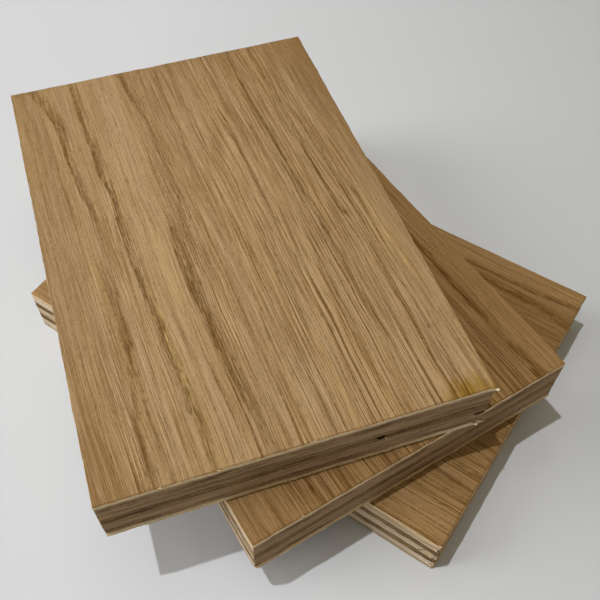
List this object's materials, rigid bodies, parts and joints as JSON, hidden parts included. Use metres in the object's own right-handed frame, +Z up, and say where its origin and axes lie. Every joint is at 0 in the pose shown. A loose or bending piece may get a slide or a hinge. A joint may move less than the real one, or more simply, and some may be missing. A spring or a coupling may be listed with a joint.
{
  "type": "stack of plywood sheets",
  "caption": "Fanned stack of flat rectangular plywood sample sheets with oak face veneers and a crossed ply lay-up that shows on the sawn edges.",
  "frame": {"origin": "centre of the bottom sheet's underside, on the floor", "axes": "+Z up through the stack, +Y along the bottom sheet's length and grain, +X across its width"},
  "size_m": [0.1712, 0.1912, 0.0525],
  "materials": {
    "oak_veneer": "sanded, unfinished",
    "long_ply": "sawn edge",
    "crossband": "sawn edge"
  },
  "bodies": {
    "root": {"bottom_back_veneer": "oak_veneer", "bottom_lower_ply": "long_ply", "bottom_lower_crossband": "crossband", "bottom_centre_ply": "long_ply", "bottom_upper_crossband": "crossband", "bottom_upper_ply": "long_ply", "bottom_face_veneer": "oak_veneer", "middle_back_veneer": "oak_veneer", "middle_lower_ply": "long_ply", "middle_lower_crossband": "crossband", "middle_centre_ply": "long_ply", "middle_upper_crossband": "crossband", "middle_upper_ply": "long_ply", "middle_face_veneer": "oak_veneer", "top_back_veneer": "oak_veneer", "top_lower_ply": "long_ply", "top_lower_crossband": "crossband", "top_centre_ply": "long_ply", "top_upper_crossband": "crossband", "top_upper_ply": "long_ply", "top_face_veneer": "oak_veneer"}
  },
  "joints": []
}
